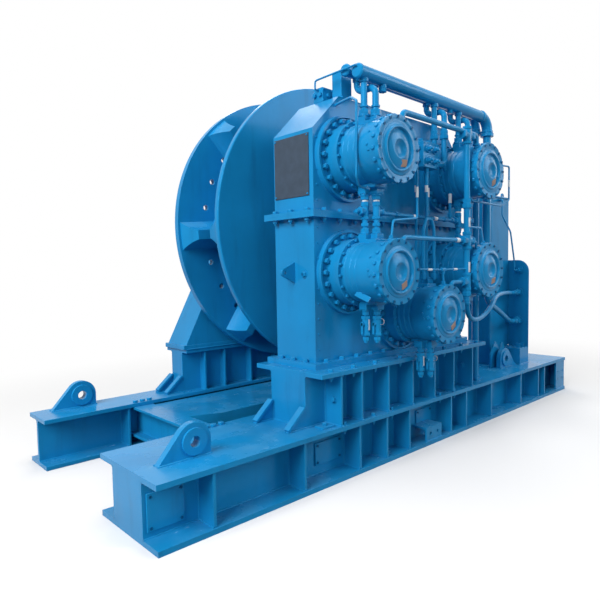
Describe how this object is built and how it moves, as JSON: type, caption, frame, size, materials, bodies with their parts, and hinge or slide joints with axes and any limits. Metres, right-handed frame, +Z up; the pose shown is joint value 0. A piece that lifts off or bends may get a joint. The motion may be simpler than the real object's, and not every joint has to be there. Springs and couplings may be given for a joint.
{
  "type": "skid-mounted chain hauler",
  "caption": "Hydraulic chain hauler on a two-beam skid: flanged pocket wheel for heavy chain, closed gear case with radial piston motors, pipework and lifting eyes.",
  "frame": {"origin": "middle of the skid's length and width, on the underside of its beams", "axes": "+X along the skid towards the hose bulkhead, +Y across it away from the motors, +Z up"},
  "size_m": [6.1, 2.762, 3.5669],
  "materials": {
    "blue_paint": "glossy",
    "bright_steel": "machined",
    "hose_blue": "painted over"
  },
  "bodies": {
    "skid": {"near_beam": "blue_paint", "far_beam": "blue_paint", "front_cross_member": "blue_paint", "middle_cross_member": "blue_paint", "rear_cross_member": "blue_paint", "deck_box": "blue_paint", "near_padeyes": "blue_paint", "far_padeyes": "blue_paint", "web_covers": "blue_paint", "near_pedestal": "blue_paint", "far_pedestal": "blue_paint", "lower_gear_case": "blue_paint", "upper_gear_case": "blue_paint", "flange_bolts": "blue_paint", "case_bearings": "bright_steel", "far_main_bearing": "bright_steel", "far_bearing_frame": "blue_paint", "far_bearing_cap": "blue_paint", "far_end_cover": "blue_paint", "cap_bolts": "blue_paint", "gearbox_bolts": "blue_paint", "pressure_header": "blue_paint", "return_header": "blue_paint", "link_pipes": "blue_paint", "drain_riser": "blue_paint", "bulkhead": "blue_paint", "bulkhead_fittings": "bright_steel", "return_hose": "hose_blue", "pressure_hose": "hose_blue", "oil_tank": "blue_paint", "oil_tank_lid": "blue_paint", "valve_blocks": "blue_paint", "motor_valves": "blue_paint", "gearbox_1": "blue_paint", "gearbox_2": "blue_paint", "gearbox_3": "blue_paint", "gearbox_4": "blue_paint", "gearbox_5": "blue_paint", "motor_1": "blue_paint", "motor_2": "blue_paint", "motor_3": "blue_paint", "motor_4": "blue_paint", "motor_5": "blue_paint", "motor_cover_1": "blue_paint", "motor_cover_2": "blue_paint", "motor_cover_3": "blue_paint", "motor_cover_4": "blue_paint", "motor_cover_5": "blue_paint"},
    "chain_wheel": {"main_shaft": "bright_steel", "bull_gear": "bright_steel", "hub_drum": "blue_paint", "near_wheel_flange": "blue_paint", "far_wheel_flange": "blue_paint", "near_whelps": "blue_paint", "far_whelps": "blue_paint"},
    "pinion_1_body": {"pinion_1": "bright_steel"},
    "pinion_2_body": {"pinion_2": "bright_steel"},
    "pinion_3_body": {"pinion_3": "bright_steel"},
    "pinion_4_body": {"pinion_4": "bright_steel"},
    "pinion_5_body": {"pinion_5": "bright_steel"}
  },
  "joints": [
    {"name": "wheel_turn", "type": "hinge", "parent": "skid", "child": "chain_wheel", "pos_m": [-0.412, 0, 2.155], "axis": [0, 1, 0], "continuous": true},
    {"name": "pinion_1_turn", "type": "hinge", "parent": "skid", "child": "pinion_1_body", "pos_m": [-1.12665, 0, 2.62981], "axis": [0, 1, 0], "continuous": true},
    {"name": "pinion_2_turn", "type": "hinge", "parent": "skid", "child": "pinion_2_body", "pos_m": [-1.12665, 0, 1.68019], "axis": [0, 1, 0], "continuous": true},
    {"name": "pinion_3_turn", "type": "hinge", "parent": "skid", "child": "pinion_3_body", "pos_m": [-0.412, 0, 1.297], "axis": [0, 1, 0], "continuous": true},
    {"name": "pinion_4_turn", "type": "hinge", "parent": "skid", "child": "pinion_4_body", "pos_m": [0.30265, 0, 2.62981], "axis": [0, 1, 0], "continuous": true},
    {"name": "pinion_5_turn", "type": "hinge", "parent": "skid", "child": "pinion_5_body", "pos_m": [0.30265, 0, 1.68019], "axis": [0, 1, 0], "continuous": true}
  ],
  "couplings": [
    {"joint": "pinion_1_turn", "follows": "wheel_turn", "ratio": -4.5714},
    {"joint": "pinion_2_turn", "follows": "wheel_turn", "ratio": -4.5714},
    {"joint": "pinion_3_turn", "follows": "wheel_turn", "ratio": -4.5714},
    {"joint": "pinion_4_turn", "follows": "wheel_turn", "ratio": -4.5714},
    {"joint": "pinion_5_turn", "follows": "wheel_turn", "ratio": -4.5714}
  ]
}
